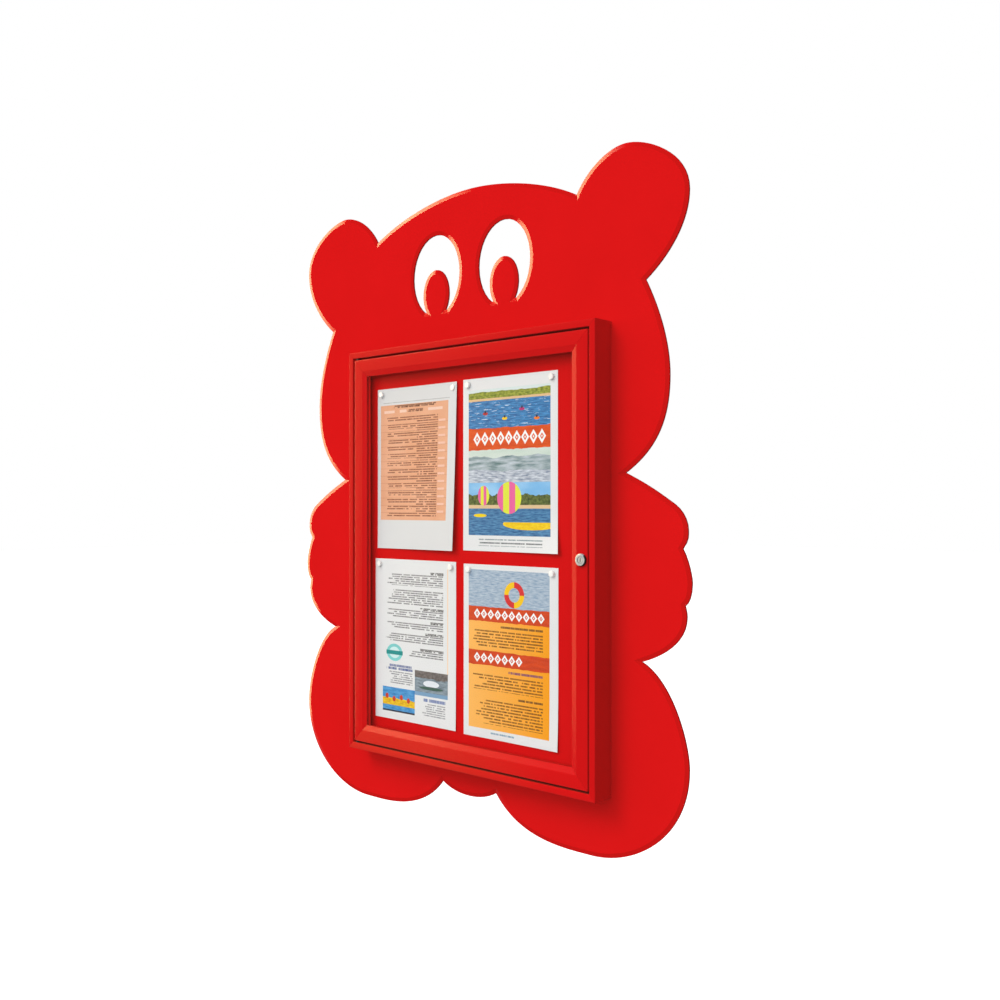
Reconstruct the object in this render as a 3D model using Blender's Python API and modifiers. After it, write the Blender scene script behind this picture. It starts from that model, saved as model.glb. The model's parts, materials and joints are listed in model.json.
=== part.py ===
"""Outdoor display case for four A4 notices, on a bear-shaped backing panel.

Metres. +Z up, the front faces -Y, +X to the right as seen from the front.
X = 0 is the panel's line of symmetry, Y = 0 its back face (the wall),
Z = 0 the middle height of the case. Sizes at the top are in millimetres.
Inside the case a depth is counted from the front plane of the case rim.
"""
import math

import bmesh
import bpy
from mathutils import Vector
from mathutils.geometry import interpolate_bezier

MM = 0.001
FIT = 0.3                   # clearance left between pieces that touch

# backing panel
PANEL_WIDE = 908.0          # over the paws
PANEL_UP = 650.0            # ear tops, above the middle of the case
PANEL_DOWN = 475.0          # soles, below it
PANEL_THICK = 4.0
PANEL_BEVEL_RUN = 7.0       # shallow milled bevel, measured across the face
PANEL_BEVEL_FALL = 1.0      # and measured into the thickness
PANEL_STEP = 9.0            # spacing of points along a curved edge
EYE_X = 82.0
EYE_UNDER = 147.0           # eye centre below the ear tops
EYE_HALF = (59.0, 73.7)     # half width and half height of the eye
EYE_FOOT = 9.2              # the cut-out stops this far above the eye's lowest point
PUPIL_UP = 39.2             # pupil centre above the eye's lowest point
PUPIL_HALF = (32.5, 45.0)

# case
CASE_X = 18.3               # case centre to the right of the panel's axis
A4 = (210.0, 297.0)         # the case holds two rows of two such sheets
SPARE = (100.0, 96.0)       # room left over beside and above them, between the ribs
CASE_DEEP = 43.0
CASE_WALL = 2.0
RIM = 11.5                  # width of the rim in front view
RIB_FRONT = 17.5            # depth of the rib that the door shuts against
RIB_TIP = 30.0              # how far the ribs reach in from the outer edge
SLOT_FRONT = 20.0           # groove that holds the back sheet
SHEET_THICK = 1.0
MITRE_GAP = 0.15            # each bar is cut back this much at a mitre
CLEAT_LEG = 62.0
DRAIN_X, DRAIN_R = 180.0, 3.0   # holes under the case, from its centre

# door
DOOR_GAP = 3.5
DOOR_BACK = 1.0             # door face behind the front plane of the rim
DOOR_DEEP = 13.5
STILE = 22.0                # flat face of a door bar
BEVEL_WIDE, BEVEL_FALL = 10.4, 2.5
DOOR_WALL = 1.8
POCKET = 24.0               # outer wall of the glazing pocket
GLASS_THICK = 4.0
GLASS_EDGE = 25.5
BACK_LIP = 1.6              # wall at the back of a door bar
BACK_SLOT = (15.0, 20.0)    # slot in that wall, from the bar's outer edge
SEAL = (8.0, 14.0)          # foam strip beside the slot

# pivots, inside the left edge of the door
PIVOT_IN, PIVOT_DEEP = 6.0, 6.0
PIN_R = 2.5
PIN_IN_DOOR = 14.0
BUSH_R = 3.5

# lock, on the middle of the right stile
LOCK_IN = 11.5
LOCK_HEAD_R, LOCK_BODY_R, PLUG_R = 10.0, 7.0, 5.0
LOCK_PROUD = 4.3
CAM_FRONT = 14.0            # cam, behind the door face
CAM_THICK = 1.8
CAM_REACH = 21.0
CAM_HALF = 6.0
CAM_SCREW_R = 4.5
CAM_ROOM = 1.0              # clearance around the swinging cam
LOCK_ROOM = 33.0            # seal and rib stop this far above and below the lock

# fixings
WALL_HOLE_IN = 38.0         # wall holes, from the outer edges of the case
WALL_HOLE_R = 3.5
PANEL_SCREW_IN = 16.0
PANEL_SCREW_UP = 200.0
PANEL_SCREW_R = 2.5

# contents
PAPER_THICK = 0.4
MAGNET_R, MAGNET_DEEP = 5.5, 4.0
MAGNET_IN, MAGNET_DOWN = 12.0, 10.0
NOTICES = {                 # column, row, and what share of SPARE lies before the sheet
    "notice_upper_left": (0, 0, 0.30, 0.443),
    "notice_upper_right": (1, 0, 0.415, 0.427),
    "notice_lower_left": (0, 1, 0.24, 0.646),
    "notice_lower_right": (1, 1, 0.425, 0.667),
}

# sizes that follow from those above
CASE_WIDE = 2 * (RIB_TIP + A4[0]) + SPARE[0]
CASE_HIGH = 2 * (RIB_TIP + A4[1]) + SPARE[1]
SHEET_SLOT = SHEET_THICK + 2 * FIT
CASE_Y = -(PANEL_THICK + FIT + CASE_DEEP)
DOOR_IN = RIM + DOOR_GAP
DOOR_WIDE = CASE_WIDE - 2 * DOOR_IN
DOOR_HIGH = CASE_HIGH - 2 * DOOR_IN
DOOR_Y = CASE_Y + DOOR_BACK
OPENING_IN = STILE + BEVEL_WIDE
GLASS_FRONT = BEVEL_FALL + 1.2 + FIT
SHEET_FRONT = SLOT_FRONT + FIT
PIVOT_X = CASE_X - DOOR_WIDE / 2 + PIVOT_IN
PIVOT_Y = DOOR_Y + PIVOT_DEEP
LOCK_X = CASE_X + DOOR_WIDE / 2 - LOCK_IN


def start_empty():
    for thing in list(bpy.data.objects):
        bpy.data.objects.remove(thing, do_unlink=True)
    for name in ("display_case", "cutters"):
        group = bpy.data.collections.new(name)
        bpy.context.scene.collection.children.link(group)


def paint(name, colour, roughness, metallic=0.0, clear=0.0):
    material = bpy.data.materials.new(name)
    material.use_nodes = True
    shader = material.node_tree.nodes["Principled BSDF"]
    shader.inputs["Base Color"].default_value = (*colour, 1.0)
    shader.inputs["Roughness"].default_value = roughness
    shader.inputs["Metallic"].default_value = metallic
    shader.inputs["Transmission Weight"].default_value = clear
    material.diffuse_color = (*colour, 1.0)
    return material


def red_paint():
    return paint("red_paint", (0.69, 0.010, 0.010), 0.35)


def plain_aluminium():
    return paint("plain_aluminium", (0.62, 0.63, 0.64), 0.40, 1.0)


def zinc_steel():
    return paint("zinc_steel", (0.56, 0.57, 0.58), 0.35, 1.0)


def chrome():
    return paint("chrome", (0.75, 0.76, 0.77), 0.12, 1.0)


def black_rubber():
    return paint("black_rubber", (0.020, 0.020, 0.021), 0.75)


def black_nylon():
    return paint("black_nylon", (0.030, 0.030, 0.032), 0.55)


def white_plastic():
    return paint("white_plastic", (0.86, 0.86, 0.84), 0.30)


def clear_sheet():
    return paint("clear_sheet", (0.95, 0.98, 0.97), 0.04, 0.0, 1.0)


def white_paper():
    return paint("white_paper", (0.84, 0.84, 0.82), 0.80)


def add(name, mesh, material, place=(0, 0, 0), turn=(0, 0, 0)):
    """Put a mesh, given in metres, at a place given in millimetres."""
    thing = bpy.data.objects.new(name, mesh)
    bpy.data.collections["display_case"].objects.link(thing)
    mesh.materials.append(material)
    thing.location = Vector(place) * MM
    thing.rotation_euler = [math.radians(angle) for angle in turn]
    return thing


def add_cutter(name, mesh, place=(0, 0, 0), turn=(0, 0, 0)):
    cutter = bpy.data.objects.new(name, mesh)
    bpy.data.collections["cutters"].objects.link(cutter)
    cutter.location = Vector(place) * MM
    cutter.rotation_euler = [math.radians(angle) for angle in turn]
    cutter.hide_render = True
    cutter.display_type = "WIRE"
    return cutter


def cut(target, cutter, operation="DIFFERENCE"):
    step = target.modifiers.new(cutter.name, "BOOLEAN")
    step.operation = operation
    step.solver = "EXACT"
    step.object = cutter


def round_mesh(name, radius, length, segments=32):
    """A solid cylinder along local Z, centred on the origin."""
    shape = bmesh.new()
    bmesh.ops.create_cone(shape, cap_ends=True, segments=segments, radius1=radius * MM,
                          radius2=radius * MM, depth=length * MM)
    mesh = bpy.data.meshes.new(name)
    shape.to_mesh(mesh)
    shape.free()
    return mesh


def box_mesh(name, size):
    shape = bmesh.new()
    bmesh.ops.create_cube(shape, size=1.0)
    bmesh.ops.scale(shape, vec=Vector(size) * MM, verts=shape.verts)
    mesh = bpy.data.meshes.new(name)
    shape.to_mesh(mesh)
    shape.free()
    return mesh


def drill(target, name, place, radius, length, along="Z"):
    turn = {"Z": (0, 0, 0), "Y": (90, 0, 0)}[along]
    cut(target, add_cutter(name, round_mesh(name, radius, length), place, turn))


def mill(target, name, place, size):
    cut(target, add_cutter(name, box_mesh(name, size), place))


def stacked(name, *stacks):
    """A mesh of closed bodies, each through rings of (outline, y) of equal count."""
    shape = bmesh.new()
    for rings in stacks:
        layers = []
        for outline, y in rings:
            layers.append([shape.verts.new((x * MM, y * MM, z * MM)) for x, z in outline])
        count = len(layers[0])
        for near, far in zip(layers, layers[1:]):
            for i in range(count):
                j = (i + 1) % count
                shape.faces.new((near[i], near[j], far[j], far[i]))
        shape.faces.new(layers[0])
        shape.faces.new(layers[-1])
    bmesh.ops.recalc_face_normals(shape, faces=shape.faces)
    mesh = bpy.data.meshes.new(name)
    shape.to_mesh(mesh)
    shape.free()
    return mesh


def inset(outline, distance):
    """Move a counter-clockwise outline inwards; a negative distance grows it."""
    moved = []
    count = len(outline)
    for i in range(count):
        here = Vector(outline[i])
        before = (here - Vector(outline[i - 1])).normalized()
        after = (Vector(outline[(i + 1) % count]) - here).normalized()
        inwards = (Vector((-before.y, before.x)) + Vector((-after.y, after.x))).normalized()
        spread = max(inwards.dot(Vector((-before.y, before.x))), 0.5)
        moved.append(tuple(here + inwards * (distance / spread)))
    return moved


def crest(x, z, before, after):
    """A knot where the outline runs level, with the reach of its two handles."""
    way = 1 if z > 0 else -1
    return (x, z), (x - way * before, z), (x + way * after, z)


def flank(x, z, above, below):
    """A knot where the outline runs upright, on its way down the right side."""
    return (x, z), (x, z + above), (x, z - below)


def notch(x, z, arriving, leaving):
    """A sharp inner corner, with the handles of the curves that meet there."""
    return (x, z), (x + arriving[0], z + arriving[1]), (x + leaving[0], z + leaving[1])


def bear_outline():
    """Right half by knots from crown to tail, mirrored; counter-clockwise.

    The knots are the drawn shape, which is then brought to the panel's size.
    """
    knots = [
        crest(0, 645, 0, 80),                          # crown
        notch(239, 588, (-62, 34), (21, 36)),          # crown to ear
        crest(334, 650, 34, 39),                       # top of the ear
        flank(449, 557, 57, 49),                       # outside of the ear
        notch(372, 432, (42, 31), (23, -44)),          # ear to cheek
        flank(415, 283, 50, 69),                       # cheek
        notch(335, 136, (56, 35), (35, -16)),          # cheek to paw
        ((424, 87), (390, 109), (438, 78)),            # back of the paw
        flank(447, 49, 13, 9),                         # upper toe
        notch(438, 20, (11, 15), (9, -14)),
        flank(454, -31, 11, 19),                       # middle toe
        notch(442, -65, (6, 3), (1, -6)),
        flank(445, -82, 8, 40),                        # lower toe
        notch(365, -156, (33, 10), (55, -24)),         # paw to leg
        flank(449, -310, 40, 101),                     # thigh
        crest(267, -475, 88, 51),                      # sole
        notch(64, -412, (55, -69), (-18, -12)),        # leg to tail
        crest(0, -428, 20, 0),                         # tail
    ]
    drawn = [knot[0] for knot in knots]
    across = PANEL_WIDE / 2 / max(x for x, _ in drawn)
    up = PANEL_UP / max(z for _, z in drawn)
    down = PANEL_DOWN / -min(z for _, z in drawn)
    knots = [[(x * across, z * (up if z > 0 else down)) for x, z in knot] for knot in knots]
    half = []
    for (start, _, leaving), (end, arriving, _) in zip(knots, knots[1:]):
        reach = (Vector(start) - Vector(end)).length
        steps = max(4, round(reach / PANEL_STEP))
        curve = interpolate_bezier(Vector((*start, 0)), Vector((*leaving, 0)),
                                   Vector((*arriving, 0)), Vector((*end, 0)), steps + 1)
        half += [(point.x, point.y) for point in curve[:-1]]
    half.append(knots[-1][0])
    left = [(-x, z) for x, z in half[1:]]
    return left + list(reversed(half[:-1]))


def eye_outline(side):
    """Crescent between the eye and the pupil, whose foot stays joined below."""
    half_wide, half_high = EYE_HALF
    pupil_drop = half_high - PUPIL_UP
    foot = math.asin((half_high - EYE_FOOT) / half_high)
    pupil_foot = math.asin((PUPIL_UP - EYE_FOOT) / PUPIL_HALF[1])
    outer_steps, inner_steps = 30, 20
    outline = []
    for i in range(outer_steps + 1):
        angle = -foot + (math.pi + 2 * foot) * i / outer_steps
        outline.append((half_wide * math.cos(angle), half_high * math.sin(angle)))
    for i in range(inner_steps + 1):
        angle = math.pi + pupil_foot - (math.pi + 2 * pupil_foot) * i / inner_steps
        outline.append((PUPIL_HALF[0] * math.cos(angle),
                        PUPIL_HALF[1] * math.sin(angle) - pupil_drop))
    return [(x + side * EYE_X, z + PANEL_UP - EYE_UNDER) for x, z in outline]


def bear_panel():
    outline = bear_outline()
    rings = [(outline, 0), (outline, PANEL_BEVEL_FALL - PANEL_THICK),
             (inset(outline, PANEL_BEVEL_RUN), -PANEL_THICK)]
    panel = add("bear_panel", stacked("bear_panel", rings), red_paint())
    beyond = 1.0
    slope = PANEL_BEVEL_RUN / PANEL_BEVEL_FALL
    eyes = []
    for side in (-1, 1):
        eye = eye_outline(side)
        flare = inset(eye, -slope * (PANEL_BEVEL_FALL + beyond))
        eyes.append([(eye, beyond), (eye, PANEL_BEVEL_FALL - PANEL_THICK),
                     (flare, -PANEL_THICK - beyond)])
    cut(panel, add_cutter("eyes", stacked("eyes", *eyes)))
    bore, rim = PANEL_SCREW_R + FIT, PANEL_SCREW_R + FIT + 2.7
    straight = [(WALL_HOLE_R, -PANEL_THICK - beyond), (WALL_HOLE_R, beyond)]
    sunk = [(bore, -PANEL_THICK - beyond), (bore, -2.7), (rim + beyond, beyond)]
    holes = [round_stack(spot, straight) for spot in wall_holes()]
    holes += [round_stack(spot, sunk) for spot in panel_screws()]
    cut(panel, add_cutter("panel_holes", stacked("panel_holes", *holes)))


def round_stack(spot, profile):
    """Rings for a hole at (x, z), from a profile of (radius, y)."""
    return [([(spot[0] + x, spot[1] + z) for x, z in circle(radius, 28)], y)
            for radius, y in profile]


def wall_holes():
    across = CASE_WIDE / 2 - WALL_HOLE_IN
    up = CASE_HIGH / 2 - WALL_HOLE_IN
    return [(CASE_X + i * across, j * up) for i in (-1, 1) for j in (-1, 1)]


def panel_screws():
    across = CASE_WIDE / 2 - PANEL_SCREW_IN
    up = CASE_HIGH / 2 - PANEL_SCREW_IN
    spots = [(i * across, j * PANEL_SCREW_UP) for i in (-1, 1) for j in (-1, 1)]
    spots += [(0.0, -up), (0.0, up)]
    return [(CASE_X + x, z) for x, z in spots]


def rounded(section):
    """Replace each corner given with a radius by a short arc."""
    smooth = []
    count = len(section)
    for i, corner in enumerate(section):
        here = Vector(corner[:2])
        if len(corner) == 2:
            smooth.append(tuple(here))
            continue
        radius = corner[2]
        back = (Vector(section[i - 1][:2]) - here).normalized()
        ahead = (Vector(section[(i + 1) % count][:2]) - here).normalized()
        middle = (back + ahead).normalized()
        half = back.angle(ahead) / 2
        centre = here + middle * (radius / math.sin(half))
        start = here + back * (radius / math.tan(half))
        end = here + ahead * (radius / math.tan(half))
        steps = 4
        for k in range(steps + 1):
            chord = start.lerp(end, k / steps) - centre
            smooth.append(tuple(centre + chord.normalized() * radius))
    return smooth


def bar(name, side, width, height, y, section, material, cut_at=None):
    """One side of a mitred frame, extruded from a section of (inwards, depth).

    cut_at = (low, high) squares off an end at that distance along the bar,
    None keeps the mitre.
    """
    turn = {"bottom": 0, "right": -90, "top": 180, "left": 90}[side]
    place = {"bottom": (CASE_X, y, -height / 2), "right": (CASE_X + width / 2, y, 0),
             "top": (CASE_X, y, height / 2), "left": (CASE_X - width / 2, y, 0)}[side]
    length = width if side in ("bottom", "top") else height
    low, high = cut_at or (None, None)
    shape = bmesh.new()
    ends = []
    for sign, square in ((-1, low), (1, high)):
        ring = []
        for inwards, depth in rounded(section):
            along = sign * (length / 2 - inwards - MITRE_GAP) if square is None else square
            ring.append(shape.verts.new((along * MM, depth * MM, inwards * MM)))
        ends.append(ring)
    count = len(ends[0])
    for i in range(count):
        j = (i + 1) % count
        shape.faces.new((ends[0][i], ends[0][j], ends[1][j], ends[1][i]))
    shape.faces.new(ends[0])
    shape.faces.new(ends[1])
    bmesh.ops.recalc_face_normals(shape, faces=shape.faces)
    mesh = bpy.data.meshes.new(name)
    shape.to_mesh(mesh)
    shape.free()
    return add(name, mesh, material, place, (0, turn, 0))


def turned(name, profile, place, turn, material, closed=False, steps=32):
    """Spin a profile of (radius, height), drawn down its outer side, about Z."""
    shape = bmesh.new()
    verts = [shape.verts.new((radius * MM, 0, height * MM)) for radius, height in profile]
    for first, second in zip(verts, verts[1:]):
        shape.edges.new((first, second))
    if closed:
        shape.edges.new((verts[-1], verts[0]))
    mesh = bpy.data.meshes.new(name)
    shape.to_mesh(mesh)
    shape.free()
    thing = add(name, mesh, material, place, turn)
    spin = thing.modifiers.new("spin", "SCREW")
    spin.steps = steps
    spin.render_steps = steps
    spin.use_merge_vertices = True
    spin.merge_threshold = 0.00001
    spin.use_smooth_shade = True
    return thing


def flat_piece(name, loops, thick, place, material):
    """A flat piece from 2D curves, standing in the XZ plane, centred in depth."""
    curve = bpy.data.curves.new(name, "CURVE")
    curve.dimensions = "2D"
    curve.fill_mode = "BOTH"
    curve.extrude = thick * MM / 2
    for loop in loops:
        spline = curve.splines.new("POLY")
        spline.points.add(len(loop) - 1)
        for point, (x, z) in zip(spline.points, loop):
            point.co = (x * MM, z * MM, 0, 1)
        spline.use_cyclic_u = True
    drawn = bpy.data.objects.new(name + "_curve", curve)
    bpy.context.scene.collection.objects.link(drawn)
    mesh = bpy.data.meshes.new_from_object(drawn.evaluated_get(
        bpy.context.evaluated_depsgraph_get()))
    bpy.data.objects.remove(drawn, do_unlink=True)
    shape = bmesh.new()
    shape.from_mesh(mesh)
    bmesh.ops.remove_doubles(shape, verts=shape.verts, dist=0.000001)
    bmesh.ops.recalc_face_normals(shape, faces=shape.faces)
    shape.to_mesh(mesh)
    shape.free()
    mesh.name = name
    mesh.materials.clear()
    return add(name, mesh, material, place, (90, 0, 0))


def circle(radius, count, turn=0.0):
    angles = [turn + 2 * math.pi * i / count for i in range(count)]
    return [(radius * math.cos(angle), radius * math.sin(angle)) for angle in angles]


def case_section():
    """Rim box, door rib, groove for the back sheet and rear flange in one."""
    groove = RIM + CASE_WALL
    rear_rib = SLOT_FRONT + SHEET_SLOT
    inner = RIM - CASE_WALL
    flange = CASE_DEEP - CASE_WALL
    return [
        (0, 0, 1.2), (RIM, 0, 0.8), (RIM, RIB_FRONT), (RIB_TIP, RIB_FRONT),
        (RIB_TIP, SLOT_FRONT), (groove, SLOT_FRONT), (groove, rear_rib),
        (RIB_TIP, rear_rib), (RIB_TIP, rear_rib + CASE_WALL), (inner, rear_rib + CASE_WALL),
        (inner, CASE_WALL), (CASE_WALL, CASE_WALL), (CASE_WALL, flange),
        (RIB_TIP - 2, flange), (RIB_TIP - 2, CASE_DEEP), (0, CASE_DEEP),
    ]


def door_section():
    """Flat face, bevel to the glazing, pocket for the pane and hollow for cleats."""
    lip = GLASS_FRONT - FIT
    rear = DOOR_DEEP - BACK_LIP
    low, high = BACK_SLOT
    return [
        (0, 0, 1.0), (STILE, 0), (OPENING_IN, BEVEL_FALL), (OPENING_IN, lip),
        (POCKET, lip), (POCKET, DOOR_DEEP), (high, DOOR_DEEP), (high, rear),
        (STILE, rear), (STILE, DOOR_WALL), (DOOR_WALL, DOOR_WALL), (DOOR_WALL, rear),
        (low, rear), (low, DOOR_DEEP), (0, DOOR_DEEP, 1.0),
    ]


def case_frame():
    red = red_paint()
    sides = {}
    for side in ("top", "bottom", "left", "right"):
        sides[side] = bar("case_bar_" + side, side, CASE_WIDE, CASE_HIGH, CASE_Y,
                          case_section(), red)
    flange_y = CASE_Y + CASE_DEEP - CASE_WALL / 2
    for i, (x, z) in enumerate(panel_screws()):
        side = ("left", "left", "right", "right", "bottom", "top")[i]
        drill(sides[side], f"flange_hole_{i + 1}", (x, flange_y, z), PANEL_SCREW_R + 0.2, 8, "Y")
    wall_z = CASE_HIGH / 2 - RIM + CASE_WALL / 2
    for side, way in (("top", 1), ("bottom", -1)):
        drill(sides[side], "bush_hole_" + side, (PIVOT_X, PIVOT_Y, way * wall_z), BUSH_R + FIT, 6)
    make_room_for_lock(sides["right"])
    for way in (-1, 1):
        place = (CASE_X + way * DRAIN_X, CASE_Y + CASE_DEEP - 10, -CASE_HIGH / 2)
        drill(sides["bottom"], f"drain_{way}", place, DRAIN_R, 2 * CASE_WALL + 4)


def make_room_for_lock(bar_right):
    """Slot that the cam turns into, and a notch in the rib behind the lock."""
    wall_x = CASE_X + CASE_WIDE / 2 - RIM
    sweep = math.hypot(CAM_REACH, CAM_HALF)
    top = math.sqrt(sweep ** 2 - (wall_x - LOCK_X) ** 2) + CAM_ROOM
    foot = -CAM_HALF - CAM_ROOM
    slot_y = DOOR_Y + CAM_FRONT + CAM_THICK / 2
    mill(bar_right, "cam_slot", (wall_x + CASE_WALL / 2, slot_y, (top + foot) / 2),
         (2 * CASE_WALL, CAM_THICK + CAM_ROOM, top - foot))
    rib_x = CASE_X + CASE_WIDE / 2 - RIB_TIP
    deep = LOCK_X + CAM_SCREW_R + 4 * CAM_ROOM - rib_x
    rib_y = CASE_Y + (RIB_FRONT + SLOT_FRONT) / 2
    mill(bar_right, "lock_notch", (rib_x, rib_y, 0),
         (2 * deep, SLOT_FRONT - RIB_FRONT + 2 * FIT, 2 * LOCK_ROOM))


def corner_cleat(name, right, up, half_wide, half_high, leg, wide, y, thick, material):
    """L-shaped cleat that joins two bars; its outer corner points out of the frame."""
    slope = 1.5
    outline = [(slope, 0), (leg - slope, 0), (leg, slope), (leg, wide), (wide, wide),
               (wide, leg), (slope, leg), (0, leg - slope), (0, slope)]
    outline = [(-right * x, -up * z) for x, z in outline]
    if right * up < 0:
        outline.reverse()
    place = (CASE_X + right * half_wide, y, up * half_high)
    return flat_piece(name, [outline], thick, place, material)


def corners():
    return (("upper_left", -1, 1), ("upper_right", 1, 1),
            ("lower_left", -1, -1), ("lower_right", 1, -1))


def case_cleats():
    metal = plain_aluminium()
    edge = CASE_WALL + FIT
    wide = RIM - 2 * CASE_WALL - 2 * FIT
    thick = 10.0
    y = CASE_Y + PIVOT_DEEP + DOOR_BACK + BUSH_R + 1.5 + thick / 2
    for name, right, up in corners():
        corner_cleat("case_cleat_" + name, right, up, CASE_WIDE / 2 - edge,
                     CASE_HIGH / 2 - edge, CLEAT_LEG, wide, y, thick, metal)


def back_sheet():
    edge = 2 * (RIM + CASE_WALL + FIT)
    size = (CASE_WIDE - edge, SHEET_THICK, CASE_HIGH - edge)
    y = CASE_Y + SHEET_FRONT + SHEET_THICK / 2
    sheet = add("back_sheet", box_mesh("back_sheet", size), red_paint(), (CASE_X, y, 0))
    for i, (x, z) in enumerate(wall_holes()):
        drill(sheet, f"sheet_wall_hole_{i + 1}", (x, y, z), WALL_HOLE_R, 6, "Y")


def wall_sleeves():
    """Tubes that carry the wall screws' load from the back sheet to the panel."""
    front = CASE_Y + SHEET_FRONT + SHEET_THICK + FIT
    length = -PANEL_THICK - FIT - front
    outer, inner = WALL_HOLE_R + 3.0, WALL_HOLE_R
    profile = [(inner, length), (outer - 0.5, length), (outer, length - 0.5), (outer, 0.5),
               (outer - 0.5, 0), (inner, 0)]
    metal = plain_aluminium()
    for i, (x, z) in enumerate(wall_holes()):
        turned(f"wall_sleeve_{i + 1}", profile, (x, front + length, z), (90, 0, 0), metal, True,
               24)


def countersunk_screws():
    """Flush in the back of the panel, into the rear flange of the case."""
    metal = zinc_steel()
    profile = [(0, 0), (4.9, 0), (PANEL_SCREW_R, -2.4), (PANEL_SCREW_R, -7.6),
               (PANEL_SCREW_R - 0.6, -8.2), (0, -8.2)]
    for i, (x, z) in enumerate(panel_screws()):
        screw = turned(f"panel_screw_{i + 1}", profile, (x, -0.2, z), (-90, 0, 0), metal,
                       steps=20)
        socket = round_mesh("socket", 1.75, 3.2, segments=6)
        cut(screw, add_cutter(f"socket_{i + 1}", socket, (x, -0.2, z), (90, 0, 0)))


def pivot_bushes():
    """Flanged plastic bushes; the lower one carries the door."""
    flange = DOOR_GAP - 2 * FIT
    sleeve = CASE_WALL + 2 * FIT
    bore = PIN_R + 0.2
    profile = [(bore, sleeve), (BUSH_R, sleeve), (BUSH_R, 0), (BUSH_R + 1.5, 0),
               (BUSH_R + 1.5, -flange), (bore, -flange)]
    z = CASE_HIGH / 2 - RIM - FIT
    plastic = black_nylon()
    turned("pivot_bush_upper", profile, (PIVOT_X, PIVOT_Y, z), (0, 0, 0), plastic, True, 24)
    turned("pivot_bush_lower", profile, (PIVOT_X, PIVOT_Y, -z), (180, 0, 0), plastic, True, 24)


def pivot_pins(door):
    top = CASE_HIGH / 2 - RIM + CASE_WALL + 1.7
    foot = DOOR_HIGH / 2 - PIN_IN_DOOR
    length = top - foot
    profile = [(0, length), (PIN_R - 0.6, length), (PIN_R, length - 0.6), (PIN_R, 0.4),
               (PIN_R - 0.4, 0), (0, 0)]
    metal = zinc_steel()
    upper = turned("pivot_pin_upper", profile, (PIVOT_X, PIVOT_Y, foot), (0, 0, 0), metal,
                   steps=24)
    lower = turned("pivot_pin_lower", profile, (PIVOT_X, PIVOT_Y, -foot), (180, 0, 0), metal,
                   steps=24)
    door += [upper, lower]


def door_frame(door):
    red = red_paint()
    sides = {}
    for side in ("top", "bottom", "left", "right"):
        sides[side] = bar("door_bar_" + side, side, DOOR_WIDE, DOOR_HIGH, DOOR_Y,
                          door_section(), red)
        door.append(sides[side])
    for side, way in (("top", 1), ("bottom", -1)):
        place = (PIVOT_X, PIVOT_Y, way * DOOR_HIGH / 2)
        drill(sides[side], "pin_hole_" + side, place, PIN_R + FIT, 8)
    place = (LOCK_X, DOOR_Y + DOOR_DEEP / 2, 0)
    drill(sides["right"], "lock_hole", place, LOCK_BODY_R + FIT, DOOR_DEEP + 4, "Y")


def door_cleats(door):
    metal = plain_aluminium()
    edge = DOOR_WALL + FIT
    wide = STILE - DOOR_WALL - 2 * FIT
    thick = DOOR_DEEP - BACK_LIP - DOOR_WALL - 2 * FIT
    y = DOOR_Y + DOOR_WALL + FIT + thick / 2
    for name, right, up in corners():
        cleat = corner_cleat("door_cleat_" + name, right, up, DOOR_WIDE / 2 - edge,
                             DOOR_HIGH / 2 - edge, CLEAT_LEG, wide, y, thick, metal)
        door.append(cleat)
        if right < 0:
            place = (PIVOT_X, PIVOT_Y, up * DOOR_HIGH / 2)
            drill(cleat, "pin_bore_" + name, place, PIN_R + FIT, 2 * (PIN_IN_DOOR + FIT))


def door_pane(door):
    size = (DOOR_WIDE - 2 * GLASS_EDGE, GLASS_THICK, DOOR_HIGH - 2 * GLASS_EDGE)
    y = DOOR_Y + GLASS_FRONT + GLASS_THICK / 2
    pane = add("door_pane", box_mesh("door_pane", size), clear_sheet(), (CASE_X, y, 0))
    door.append(pane)
    front = GLASS_FRONT + GLASS_THICK + FIT
    section = [(POCKET + FIT, front), (OPENING_IN, front), (OPENING_IN, front + 1.5),
               (OPENING_IN - 1.8, DOOR_DEEP - FIT), (POCKET + FIT, DOOR_DEEP - FIT)]
    red = red_paint()
    for side in ("top", "bottom", "left", "right"):
        bead = bar("glazing_bead_" + side, side, DOOR_WIDE, DOOR_HIGH, DOOR_Y, section, red)
        door.append(bead)


def door_seals(door):
    """Foam strips on the back of the door; the right one stops around the lock."""
    front = DOOR_DEEP + FIT
    back = RIB_FRONT - DOOR_BACK - FIT
    near, far = SEAL
    section = [(near, front), (far, front), (far, back, 1.2), (near, back, 1.2)]
    soft = black_rubber()
    strips = (("top", "top", None), ("bottom", "bottom", None), ("left", "left", None),
              ("right_upper", "right", (LOCK_ROOM, None)),
              ("right_lower", "right", (None, -LOCK_ROOM)))
    for name, side, cut_at in strips:
        strip = bar("door_seal_" + name, side, DOOR_WIDE, DOOR_HIGH, DOOR_Y, section, soft,
                    cut_at)
        door.append(strip)


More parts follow.
